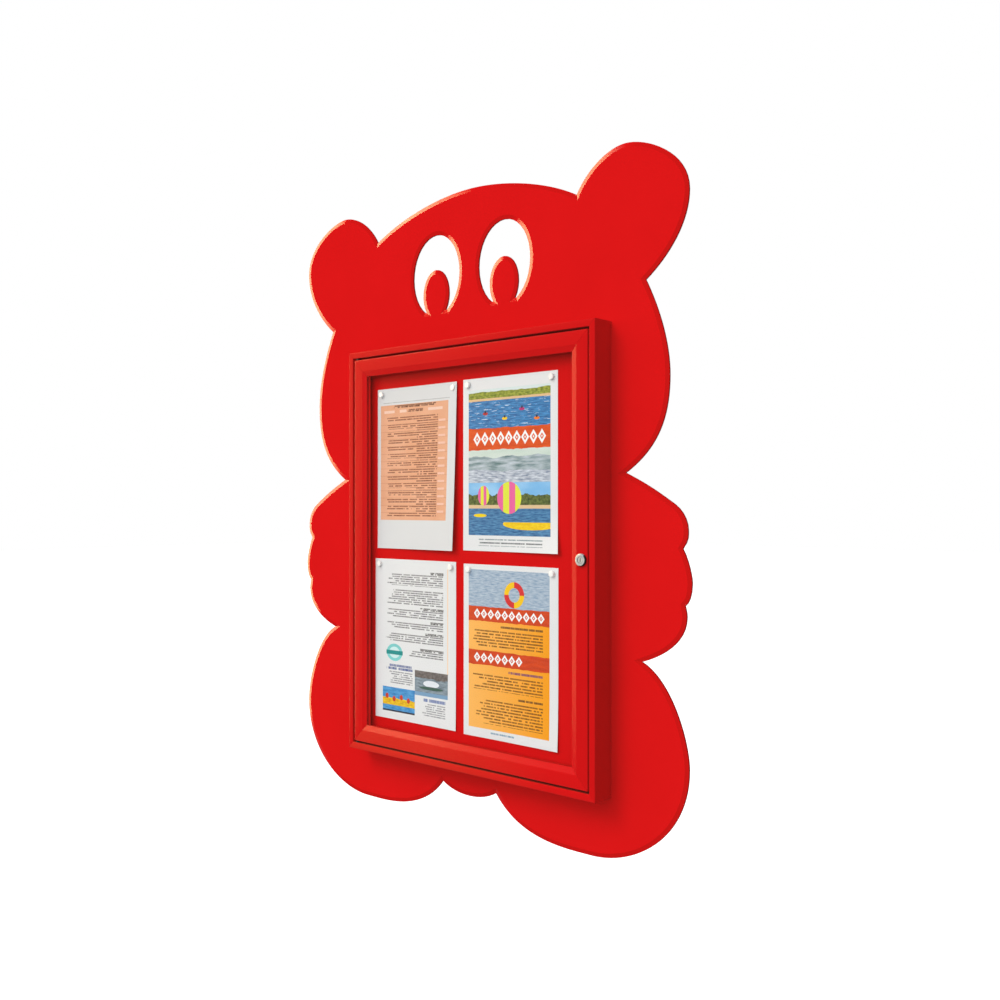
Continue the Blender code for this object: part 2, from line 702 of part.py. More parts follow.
def lock(door, turning):
    """Cam lock. The housing is clamped to the stile, plug and cam turn in it."""
    bright = chrome()
    metal = zinc_steel()
    rear = CAM_FRONT - 0.6
    bore = PLUG_R + FIT
    housing = [(bore, LOCK_PROUD), (LOCK_HEAD_R - 1.4, LOCK_PROUD),
               (LOCK_HEAD_R - 0.4, LOCK_PROUD - 0.4), (LOCK_HEAD_R, LOCK_PROUD - 1.3),
               (LOCK_HEAD_R, FIT), (LOCK_BODY_R, FIT), (LOCK_BODY_R, 0.5 - rear),
               (LOCK_BODY_R - 0.5, -rear), (bore, -rear)]
    place = (LOCK_X, DOOR_Y, 0)
    door.append(turned("lock_housing", housing, place, (90, 0, 0), bright, True, 40))
    nut_thick = 3.5
    flats = STILE - 4.0
    hexagon = circle(flats / math.sqrt(3), 6, math.pi / 2)
    hole = circle(LOCK_BODY_R + FIT, 32)
    nut_y = DOOR_Y + DOOR_WALL + FIT + nut_thick / 2
    door.append(flat_piece("lock_nut", [hexagon, hole], nut_thick, (LOCK_X, nut_y, 0), metal))

    face = LOCK_PROUD - 0.7
    shoulder = CAM_FRONT - FIT
    plug = [(0, face), (PLUG_R - 0.4, face), (PLUG_R, face - 0.4), (PLUG_R, -shoulder),
            (0, -shoulder)]
    core = turned("lock_plug", plug, place, (90, 0, 0), bright, steps=40)
    tang = 6.4
    tang_y = DOOR_Y + shoulder + 0.5
    tang_mesh = box_mesh("plug_tang", (tang, 2.8, tang))
    cut(core, add_cutter("plug_tang", tang_mesh, (LOCK_X, tang_y, 0)), "UNION")
    mill(core, "keyway", (LOCK_X, DOOR_Y - face, 0), (1.6, 12, 6.6))
    drill(core, "cam_screw_hole", (LOCK_X, tang_y, 0), 2.2, 15, "Y")
    turning.append(core)

    tip, heel = CAM_REACH, CAM_HALF
    outline = [(heel, 0), (heel, tip - 2), (heel - 2, tip), (2 - heel, tip), (-heel, tip - 2),
               (-heel, 0)]
    for i in range(1, 8):
        angle = math.pi + math.pi * i / 8
        outline.append((heel * math.cos(angle), heel * math.sin(angle)))
    half = tang / 2 + FIT
    window = [(half, half), (half, -half), (-half, -half), (-half, half)]
    cam_y = DOOR_Y + CAM_FRONT + CAM_THICK / 2
    turning.append(flat_piece("lock_cam", [outline, window], CAM_THICK, (LOCK_X, cam_y, 0),
                              metal))
    seat = CAM_FRONT + CAM_THICK + FIT
    screw = [(0, 0), (CAM_SCREW_R - 1.1, 0), (CAM_SCREW_R, -1.0), (CAM_SCREW_R, -2.0),
             (2.0, -2.0), (2.0, -8.0), (0, -8.0)]
    cam_screw = turned("cam_screw", screw, (LOCK_X, DOOR_Y + seat + 2.0, 0), (-90, 0, 0), metal,
                       steps=24)
    turning.append(cam_screw)


def notices_and_magnets():
    paper = white_paper()
    plastic = white_plastic()
    sheet_y = CASE_Y + SHEET_FRONT - FIT - PAPER_THICK / 2
    magnet_y = CASE_Y + SHEET_FRONT - FIT - PAPER_THICK - FIT
    cap = [(0, MAGNET_DEEP), (MAGNET_R - 1.6, MAGNET_DEEP), (MAGNET_R - 0.5, MAGNET_DEEP - 0.5),
           (MAGNET_R, MAGNET_DEEP - 1.6), (MAGNET_R, 0), (0, 0)]
    wide, high = A4
    for name, (column, row, across, down) in NOTICES.items():
        left = RIB_TIP - CASE_WIDE / 2 + column * wide + across * SPARE[0]
        top = CASE_HIGH / 2 - RIB_TIP - row * high - down * SPARE[1]
        centre = (CASE_X + left + wide / 2, sheet_y, top - high / 2)
        add(name, box_mesh(name, (wide, PAPER_THICK, high)), paper, centre)
        for side, x in (("left", left + MAGNET_IN), ("right", left + wide - MAGNET_IN)):
            label = name.replace("notice", "magnet") + "_" + side
            place = (CASE_X + x, magnet_y, top - MAGNET_DOWN)
            turned(label, cap, place, (90, 0, 0), plastic, steps=20)


def hang_on(name, place, things, carrier=None):
    """Parent pieces to an empty that stands on their joint axis."""
    axis = bpy.data.objects.new(name, None)
    bpy.data.collections["display_case"].objects.link(axis)
    axis.location = Vector(place) * MM
    if carrier is not None:
        axis.parent = carrier
        axis.matrix_parent_inverse = carrier.matrix_world.inverted()
    bpy.context.view_layer.update()
    for thing in things:
        thing.parent = axis
        thing.matrix_parent_inverse = axis.matrix_world.inverted()
    return axis


def build():
    start_empty()
    bear_panel()
    case_frame()
    case_cleats()
    back_sheet()
    wall_sleeves()
    countersunk_screws()
    pivot_bushes()
    door = []
    turning = []
    door_frame(door)
    door_cleats(door)
    door_pane(door)
    door_seals(door)
    pivot_pins(door)
    lock(door, turning)
    notices_and_magnets()
    hinge = hang_on("door_axis", (PIVOT_X, PIVOT_Y, 0), door)
    hang_on("lock_axis", (LOCK_X, DOOR_Y, 0), turning, hinge)


build()
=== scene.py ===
"""Looks of the outdoor display case: materials, printed notices, light and camera.

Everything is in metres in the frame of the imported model. Places on a notice are
in millimetres, to the right and down from the sheet's upper left corner.
"""
import json
import math
import bpy
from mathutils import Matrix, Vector


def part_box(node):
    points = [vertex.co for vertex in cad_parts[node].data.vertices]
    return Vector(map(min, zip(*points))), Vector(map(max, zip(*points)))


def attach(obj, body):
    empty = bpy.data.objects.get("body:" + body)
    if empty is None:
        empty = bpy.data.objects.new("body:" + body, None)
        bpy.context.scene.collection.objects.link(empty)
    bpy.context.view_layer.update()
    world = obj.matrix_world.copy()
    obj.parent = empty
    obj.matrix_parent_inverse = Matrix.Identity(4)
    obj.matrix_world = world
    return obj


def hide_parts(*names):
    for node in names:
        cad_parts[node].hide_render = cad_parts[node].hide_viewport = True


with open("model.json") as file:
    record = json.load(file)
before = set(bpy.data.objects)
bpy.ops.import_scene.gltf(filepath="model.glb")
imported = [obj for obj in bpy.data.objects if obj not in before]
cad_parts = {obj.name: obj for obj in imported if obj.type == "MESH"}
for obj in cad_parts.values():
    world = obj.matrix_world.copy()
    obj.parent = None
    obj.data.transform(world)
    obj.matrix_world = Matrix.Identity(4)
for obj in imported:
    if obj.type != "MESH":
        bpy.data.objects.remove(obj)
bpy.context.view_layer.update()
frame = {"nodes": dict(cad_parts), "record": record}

MM = 0.001

# camera, from the photograph's vanishing points and the sheets' known size
CAMERA_PLACE = (1.2808, -1.3676, 0.0841)
CAMERA_YAW = 41.5
CAMERA_LENS = 38.09
CAMERA_SHIFT_Y = 0.0061

# light: the surroundings grow brighter towards SKY_TOWARDS, and less so towards its opposite
SKY_ALL, SKY_GLOW, SKY_REAR = 0.05, 1.52, 0.70
SKY_TOWARDS = (-0.20, -0.92, 0.36)
KEY_FROM = (-0.50, -1.0, 1.0)
KEY_POWER = 1.00
KEY_ANGLE = 28
WARM = (1.0, 0.66, 0.30)
# gloss boxes: azimuth, elevation, width, height and radiance
INNER_BOX = (-50.5, 22.8, 0.79, 2.66, 18.0)
OUTER_BOX = (-69.0, 10.8, 1.17, 3.35, 13.0)
BOX_AWAY = 3.0
BOX_AIM = (0.0, 0.0, 0.08)

# floor: its own light fades in between two distances from the middle
FLOOR_Z = -1.25
FLOOR_HALF = 30.0
FLOOR_NEAR, FLOOR_FAR = 0.4, 0.95
FLOOR_MIDDLE = 0.40
FLOOR_GREY = (0.45, 0.45, 0.45, 1)

# red paint; the crown is what faces up and the wall is the plate's narrow edge; both carry
# painted shade
PAINT_ROUGHNESS = 0.30
PAINT_GLOSS = 0.007
BAR_BEVEL_GLOSS = 0.028
BAR_BEVEL_ROUGHNESS = 0.20
# painted glow: a trace of green and blue emission lifts the paint's shadows
PAINT_GLOW = 0.0068
GLOW_COLOUR = (0.0, 1.0, 0.74, 1)
# orange of the dusting on what faces up and of the painted sheen of the lower bars
DUST_AND_SHEEN_COLOUR = (0.95, 0.60, 0.24, 1)
# painted sheen: full at a bar's left end, none past its right
SHEEN_NONE_X, SHEEN_FULL_X = 0.22, -0.05
CROWN_UP = 0.9
# painted shade: what faces up is darker, to hold back the strong light from above
CROWN_SHADE_RED = (0.36, 0.001, 0.002, 1)
CROWN_DUST = 0.02
WALL_FORWARD = 0.3
# painted shade on the plate's narrow edge wall
WALL_SHADE_RED = (0.42, 0.001, 0.002, 1)
# painted shade on milled bevels that slope to the right or down
BEVEL_SHADE_RED = (0.59, 0.002, 0.003, 1)
BEVEL_SHADE_NONE, BEVEL_SHADE_FULL = 0.30, 0.05
POLISH_NONE, POLISH_FULL = 0.28, 0.55

# how far forward the shallow bevels face, and how far a facet may differ from that
BEVEL_FORWARD, BEVEL_WITHIN = 0.973, 0.0205
# a milled bevel's slope counts to the left and up
SLOPE_LEFT, SLOPE_UP = 6.7, 2.1

# pane: weak Fresnel gloss, with nothing left of it where it is below PANE_DULL
PANE_IOR = 1.012
PANE_DULL = 0.004

# edges: angle in degrees above which one stays sharp, and width in mm of the broken ones
SHARP_ANGLE, PLATE_SHARP_ANGLE = 12.5, 5.0
BROKEN_ANGLE = 28
BROKEN_EDGE, PLATE_EDGE, PANE_EDGE = 0.25, 0.35, 0.3

# printed sheets
SHEET_WIDE, SHEET_HIGH = 210.0, 297.0
SHEET_THICK = 0.25
SHEET_STEP = 7.0
SHEET_OFF = 0.05
PAPER = (228, 228, 228)
PAPER_GLOSS = 0.06
# curl of each sheet: lift of its lower right corner, reach, lean, and how far it is drawn in
CURL_UPPER_LEFT = (9.0, 230.0, math.radians(22), 7.0)
CURL_UPPER_RIGHT = (6.5, 64.0, math.radians(68), -5.0)
CURL_LOWER_LEFT = (1.2, 120.0, math.radians(40), 0.0)
CURL_LOWER_RIGHT = (2.5, 90.0, math.radians(45), 0.0)


def linear(red, green, blue):
    """A shader colour from screen values of 0 to 255."""
    shares = []
    for value in (red, green, blue):
        share = value / 255
        shares.append(share / 12.92 if share <= 0.04045 else ((share + 0.055) / 1.055) ** 2.4)
    return (*shares, 1.0)


# node helpers


def fresh_material(name):
    material = bpy.data.materials.new(name)
    material.use_nodes = True
    return material, material.node_tree, material.node_tree.nodes["Principled BSDF"]


def feed(tree, socket, value):
    if isinstance(value, bpy.types.NodeSocket):
        tree.links.new(value, socket)
    else:
        socket.default_value = value


def calculate(tree, operation, first, second=0.0, third=0.0):
    node = tree.nodes.new("ShaderNodeMath")
    node.operation = operation
    for socket, value in zip(node.inputs, (first, second, third)):
        feed(tree, socket, value)
    return node.outputs["Value"]


def noise(tree, vector, scale, detail=2.0, stretch=(1, 1, 1)):
    """Noise of 0 to 1 over a vector, whose cells are 1 / scale wide."""
    mapping = tree.nodes.new("ShaderNodeMapping")
    mapping.inputs["Scale"].default_value = stretch
    tree.links.new(vector, mapping.inputs["Vector"])
    node = tree.nodes.new("ShaderNodeTexNoise")
    node.inputs["Scale"].default_value = scale
    node.inputs["Detail"].default_value = detail
    tree.links.new(mapping.outputs["Vector"], node.inputs["Vector"])
    return node.outputs["Fac"]


def object_place(tree):
    return tree.nodes.new("ShaderNodeTexCoord").outputs["Object"]


def split_vector(tree, vector):
    """A node whose outputs are the vector's X, Y and Z."""
    node = tree.nodes.new("ShaderNodeSeparateXYZ")
    tree.links.new(vector, node.inputs["Vector"])
    return node


def surface_normal(tree):
    return split_vector(tree, tree.nodes.new("ShaderNodeTexCoord").outputs["Normal"])


def spread(tree, value, low, high):
    """Map a value around 0.3 to 0.7 onto the range from low to high."""
    node = tree.nodes.new("ShaderNodeMapRange")
    feed(tree, node.inputs["Value"], value)
    node.inputs["From Min"].default_value = 0.3
    node.inputs["From Max"].default_value = 0.7
    node.inputs["To Min"].default_value = low
    node.inputs["To Max"].default_value = high
    return node.outputs["Result"]


def ramp(tree, value, start, end):
    """0 before the start, 1 after the end."""
    node = tree.nodes.new("ShaderNodeMapRange")
    feed(tree, node.inputs["Value"], value)
    node.inputs["From Min"].default_value = start
    node.inputs["From Max"].default_value = end
    return node.outputs["Result"]


def blend_colours(tree, share, below, above):
    node = tree.nodes.new("ShaderNodeMix")
    node.data_type = "RGBA"
    feed(tree, node.inputs["Factor"], share)
    feed(tree, node.inputs["A"], below)
    feed(tree, node.inputs["B"], above)
    return node.outputs["Result"]


def bump(tree, shader, height, strength, distance):
    node = tree.nodes.new("ShaderNodeBump")
    node.inputs["Strength"].default_value = strength
    node.inputs["Distance"].default_value = distance
    tree.links.new(height, node.inputs["Height"])
    tree.links.new(node.outputs["Normal"], shader.inputs["Normal"])


# materials of the hardware


def red_paint(name, tone, gloss=PAINT_GLOSS, bevel_gloss=BAR_BEVEL_GLOSS,
              bevel_roughness=BAR_BEVEL_ROUGHNESS, glow=PAINT_GLOW, painted_sheen=0.0, milled=False):
    """Powder coat: fine orange peel, faint clouding, a dusting of orange specks, most on what
    faces up, and painted shade on what faces up.

    The bevel values are those of the slightly sloping surfaces beside the flats. The painted
    sheen of a bar is an orange tint, a painted highlight, that thins out towards its right
    end. A trace of painted glow in green and blue lifts the shadows. A milled bevel is
    polished where it slopes to the left and carries painted shade where it slopes to the
    right or down; its narrow wall carries painted shade too.
    """
    material, tree, shader = fresh_material(name)
    place = object_place(tree)
    clouds = noise(tree, place, 7.0, 3.0)
    grain = noise(tree, place, 420.0, 2.0)
    specks = noise(tree, place, 1500.0, 0.0)
    normal = surface_normal(tree)
    shade = blend_colours(tree, spread(tree, clouds, 0.0, 1.0),
                          (0.680 * tone, 0.0020, 0.0040, 1), (0.710 * tone, 0.0026, 0.0048, 1))
    crown = calculate(tree, "GREATER_THAN", normal.outputs["Z"], CROWN_UP)
    # painted shade on what faces up
    shade = blend_colours(tree, crown, shade, CROWN_SHADE_RED)
    forward = calculate(tree, "ABSOLUTE", normal.outputs["Y"])
    bevel = calculate(tree, "COMPARE", forward, BEVEL_FORWARD, BEVEL_WITHIN)
    rough = calculate(tree, "MULTIPLY_ADD", bevel, bevel_roughness - PAINT_ROUGHNESS,
                      spread(tree, clouds, PAINT_ROUGHNESS - 0.03, PAINT_ROUGHNESS + 0.03))
    polish = bevel
    if milled:
        slope = calculate(tree, "MULTIPLY_ADD", normal.outputs["X"], -SLOPE_LEFT,
                          calculate(tree, "MULTIPLY", normal.outputs["Z"], SLOPE_UP))
        polish = calculate(tree, "MULTIPLY", bevel, ramp(tree, slope, POLISH_NONE, POLISH_FULL))
        # painted shade where the milled bevel slopes to the right or down, away from the light
        bevel_shade = calculate(tree, "MULTIPLY", bevel, ramp(tree, slope, BEVEL_SHADE_NONE, BEVEL_SHADE_FULL))
        shade = blend_colours(tree, bevel_shade, shade, BEVEL_SHADE_RED)
        # painted shade: the plate's narrow wall is darker
        wall = calculate(tree, "LESS_THAN", forward, WALL_FORWARD)
        shade = blend_colours(tree, wall, shade, WALL_SHADE_RED)
    # painted sheen: an orange tint, strongest at a bar's left end, stands in for a highlight
    if painted_sheen:
        along = split_vector(tree, place).outputs["X"]
        painted_sheen = calculate(tree, "MULTIPLY", ramp(tree, along, SHEEN_NONE_X, SHEEN_FULL_X), painted_sheen)
    dust_and_sheen = calculate(tree, "MULTIPLY_ADD", crown, CROWN_DUST, painted_sheen)
    share = calculate(tree, "MULTIPLY", spread(tree, specks, 0.5, 1.5), dust_and_sheen)
    tree.links.new(blend_colours(tree, share, shade, DUST_AND_SHEEN_COLOUR), shader.inputs["Base Color"])
    tree.links.new(rough, shader.inputs["Roughness"])
    tree.links.new(calculate(tree, "MULTIPLY_ADD", polish, bevel_gloss - gloss, gloss),
                   shader.inputs["Specular IOR Level"])
    # painted glow in green and blue, lifting the shadows
    shader.inputs["Emission Color"].default_value = GLOW_COLOUR
    shader.inputs["Emission Strength"].default_value = glow
    bump(tree, shader, grain, 0.06, 0.0004)
    return material


def lock_metal(name, colour):
    """Plated metal whose slopes to the right and below are dark with painted shade."""
    material, tree, shader = fresh_material(name)
    normal = surface_normal(tree)
    slope = calculate(tree, "MULTIPLY_ADD", normal.outputs["Z"], -0.6, normal.outputs["X"])
    # painted shade on the slopes to the right and below
    dark = calculate(tree, "GREATER_THAN", slope, 0.12)
    stain = noise(tree, object_place(tree), 300.0, 2.0)
    darker = tuple(0.8 * part for part in colour[:3]) + (1.0,)
    face = blend_colours(tree, spread(tree, stain, 0.0, 1.0), darker, colour)
    tree.links.new(blend_colours(tree, dark, face, (0.010, 0.014, 0.014, 1)),
                   shader.inputs["Base Color"])
    tree.links.new(spread(tree, stain, 0.30, 0.40), shader.inputs["Roughness"])
    shader.inputs["Metallic"].default_value = 0.35
    return material


def metal(name, colour, roughness, stretch, scale, strength):
    """Bare or plated metal with a drawn grain along one direction."""
    material, tree, shader = fresh_material(name)
    place = object_place(tree)
    grain = noise(tree, place, scale, 3.0, stretch)
    stain = noise(tree, place, 40.0, 2.0)
    darker = tuple(0.86 * part for part in colour[:3]) + (1.0,)
    tree.links.new(blend_colours(tree, spread(tree, stain, 0.0, 1.0), darker, colour),
                   shader.inputs["Base Color"])
    tree.links.new(spread(tree, grain, roughness - 0.05, roughness + 0.07),
                   shader.inputs["Roughness"])
    shader.inputs["Metallic"].default_value = 1.0
    bump(tree, shader, grain, strength, 0.0002)
    return material


def moulded(name, dark, light, roughness, scale, strength, gloss=0.5):
    """Rubber, nylon or hard plastic with a moulded grain."""
    material, tree, shader = fresh_material(name)
    place = object_place(tree)
    grain = noise(tree, place, scale, 2.0)
    marks = noise(tree, place, 60.0, 3.0)
    tree.links.new(blend_colours(tree, spread(tree, marks, 0.0, 1.0), dark, light),
                   shader.inputs["Base Color"])
    tree.links.new(spread(tree, marks, roughness - 0.05, roughness + 0.05),
                   shader.inputs["Roughness"])
    shader.inputs["Specular IOR Level"].default_value = gloss
    bump(tree, shader, grain, strength, 0.0003)
    return material


def clear_pane():
    """Coated pane: almost all light goes through, with a gloss at flat angles only."""
    material, tree, _ = fresh_material("clear_pane")
    tree.nodes.clear()
    output = tree.nodes.new("ShaderNodeOutputMaterial")
    through = tree.nodes.new("ShaderNodeBsdfTransparent")
    through.inputs["Color"].default_value = (0.992, 0.996, 0.994, 1)
    gloss = tree.nodes.new("ShaderNodeBsdfGlossy")
    gloss.inputs["Color"].default_value = (1, 1, 1, 1)
    smears = noise(tree, object_place(tree), 9.0, 4.0)
    tree.links.new(spread(tree, smears, 0.02, 0.05), gloss.inputs["Roughness"])
    fresnel = tree.nodes.new("ShaderNodeFresnel")
    fresnel.inputs["IOR"].default_value = PANE_IOR
    mix = tree.nodes.new("ShaderNodeMixShader")
    beyond = calculate(tree, "SUBTRACT", fresnel.outputs["Fac"], PANE_DULL)
    tree.links.new(calculate(tree, "MAXIMUM", beyond, 0.0), mix.inputs["Fac"])
    tree.links.new(through.outputs["BSDF"], mix.inputs[1])
    tree.links.new(gloss.outputs["BSDF"], mix.inputs[2])
    tree.links.new(mix.outputs["Shader"], output.inputs["Surface"])
    return material


# printing


class Print:
    """A paper material on which shapes are painted one over the other."""

    def __init__(self, name, paper=PAPER):
        self.material, self.tree, self.shader = fresh_material(name)
        flat = self.tree.nodes.new("ShaderNodeUVMap")
        flat.uv_map = "flat"
        split = split_vector(self.tree, flat.outputs["UV"])
        self.x = self.math("MULTIPLY", split.outputs["X"], SHEET_WIDE)
        self.y = self.math("MULTIPLY", split.outputs["Y"], SHEET_HIGH)
        self.colour = linear(*paper)

    def math(self, operation, first, second=0.0, third=0.0):
        return calculate(self.tree, operation, first, second, third)

    def above(self, value, limit):
        return self.math("GREATER_THAN", value, limit)

    def both(self, first, second):
        return self.math("MULTIPLY", first, second)

    def between(self, value, low, high):
        return self.both(self.above(value, low), self.math("LESS_THAN", value, high))

    def ripple(self, wide, high, seed=0.0, detail=2.0):
        """Noise whose patches are about that wide and high."""
        join = self.tree.nodes.new("ShaderNodeCombineXYZ")
        feed(self.tree, join.inputs["X"], self.math("DIVIDE", self.x, wide))
        feed(self.tree, join.inputs["Y"], self.math("DIVIDE", self.y, high))
        feed(self.tree, join.inputs["Z"], seed)
        node = self.tree.nodes.new("ShaderNodeTexNoise")
        node.inputs["Scale"].default_value = 1.0
        node.inputs["Detail"].default_value = detail
        self.tree.links.new(join.outputs["Vector"], node.inputs["Vector"])
        return node.outputs["Fac"]

    def box(self, left, right, top, bottom):
        return self.both(self.between(self.x, left, right), self.between(self.y, top, bottom))

    def disc(self, x, y, half_wide, half_high):
        across = self.math("DIVIDE", self.math("SUBTRACT", self.x, x), half_wide)
        down = self.math("DIVIDE", self.math("SUBTRACT", self.y, y), half_high)
        reach = self.math("ADD", self.both(across, across), self.both(down, down))
        return self.math("LESS_THAN", reach, 1.0)

    def ring(self, x, y, outer, inner):
        return self.math("SUBTRACT", self.disc(x, y, outer, outer), self.disc(x, y, inner, inner))

    def rough_line(self, height, depth, wide, seed):
        """A level that wanders up and down by noise, for shores and brushed edges."""
        wander = self.math("SUBTRACT", self.ripple(wide, 1000.0, seed, 4.0), 0.5)
        return self.math("ADD", height, self.math("MULTIPLY", wander, 2 * depth))

    def paint(self, mask, colour):
        self.colour = blend_colours(self.tree, mask, self.colour, colour)

    def dither(self, mask, dark, light, wide, high, seed=0.0, detail=3.0):
        """Paint a mask in a mottle of two colours."""
        share = spread(self.tree, self.ripple(wide, high, seed, detail), 0.0, 1.0)
        self.paint(mask, blend_colours(self.tree, share, dark, light))

    def rows(self, left, right, top, bottom, pitch, share, word, colour, seed, ragged=8.0,
             within=1.0):
        """Grey bars broken like lines of small print, without any letters."""
        count = self.math("DIVIDE", self.math("SUBTRACT", self.y, top), pitch)
        line = self.math("FLOOR", count)
        inked = self.math("LESS_THAN", self.math("SUBTRACT", count, line), share)
        white = self.tree.nodes.new("ShaderNodeTexWhiteNoise")
        white.noise_dimensions = "1D"
        feed(self.tree, white.inputs["W"], self.math("ADD", line, seed))
        start = self.math("MULTIPLY_ADD", white.outputs["Value"], ragged, left)
        field = self.both(self.box(left, right, top, bottom), self.above(self.x, start))
        words = self.broken(line, word, seed, 0.36)
        strokes = self.math("MULTIPLY_ADD", self.broken(line, 0.9, seed + 5.0, 0.5), 0.40, 0.55)
        mask = self.both(self.both(field, inked), self.both(words, strokes))
        self.paint(self.both(mask, within), colour)

    def broken(self, line, wide, seed, limit):
        join = self.tree.nodes.new("ShaderNodeCombineXYZ")
        feed(self.tree, join.inputs["X"], self.math("DIVIDE", self.x, wide))
        feed(self.tree, join.inputs["Y"], self.math("MULTIPLY_ADD", line, 7.31, seed))
        node = self.tree.nodes.new("ShaderNodeTexNoise")
        node.inputs["Scale"].default_value = 1.0
        node.inputs["Detail"].default_value = 0.0
        self.tree.links.new(join.outputs["Vector"], node.inputs["Vector"])
        return self.above(node.outputs["Fac"], limit)

    def finish(self, roughness):
        """Close the print: paper tone, sheen and a very slight cockle."""
        fibres = self.ripple(3.0, 3.0, 9.0, 2.0)
        tone = blend_colours(self.tree, spread(self.tree, fibres, 0.0, 0.03), self.colour,
                             linear(200, 200, 198))
        self.tree.links.new(tone, self.shader.inputs["Base Color"])
        self.tree.links.new(spread(self.tree, fibres, roughness - 0.04, roughness + 0.04),
                            self.shader.inputs["Roughness"])
        self.shader.inputs["Specular IOR Level"].default_value = PAPER_GLOSS
        bump(self.tree, self.shader, self.ripple(45.0, 60.0, 2.0, 1.0), 0.25, 0.0015)
        return self.material


BLACK = linear(30, 28, 30)
WHITE = linear(246, 246, 244)


def price_list():
    """A tinted table of small print."""
    # painted shade: this sheet's paper is darker, as its curl turns it towards the key light
    sheet = Print("print_price_list", (217, 217, 217))
    sheet.rows(14, 192, 26.0, 27.2, 1.2, 1.0, 1.6, linear(150, 150, 150), 3.0, 2.0)
    block = sheet.box(8.5, 189, 31, 244)
    sheet.dither(block, linear(224, 160, 124), linear(232, 173, 140), 60, 80, 4.0)
    brown = linear(120, 62, 44)
    sheet.rows(44, 156, 32.0, 37.4, 2.7, 0.92, 5.0, linear(64, 26, 22), 11.0, 6.0)
    pale = linear(240, 200, 180)
    sheet.paint(sheet.box(18, 46, 41, 46), pale)
    sheet.paint(sheet.box(60, 78, 41, 46), pale)
    sheet.paint(sheet.box(136, 174, 41, 46), pale)
    sheet.rows(80, 122, 41.0, 46.0, 2.5, 0.9, 4.0, linear(84, 40, 34), 15.0, 4.0)
    cycle = 13.6
    part = sheet.math("MODULO", sheet.math("SUBTRACT", sheet.y, 54.0), cycle)
    body = sheet.box(26, 162, 54, 238)
    full = sheet.both(body, sheet.math("LESS_THAN", part, 8.4))
    short = sheet.both(sheet.both(body, sheet.between(part, 8.4, 12.6)),
                       sheet.above(sheet.x, 106.0))
    sheet.rows(26, 162, 54, 238, 4.2, 0.55, 9.0, brown, 20.0, 6.0,
               within=sheet.math("ADD", full, short))
    tags = sheet.both(sheet.box(164, 182, 54, 240), sheet.above(part, 9.0))
    sheet.paint(tags, linear(238, 190, 168))
    lines = sheet.both(sheet.box(8.5, 189, 50, 240), sheet.above(part, cycle - 0.6))
    sheet.paint(lines, linear(206, 138, 106))
    return sheet.finish(0.55)


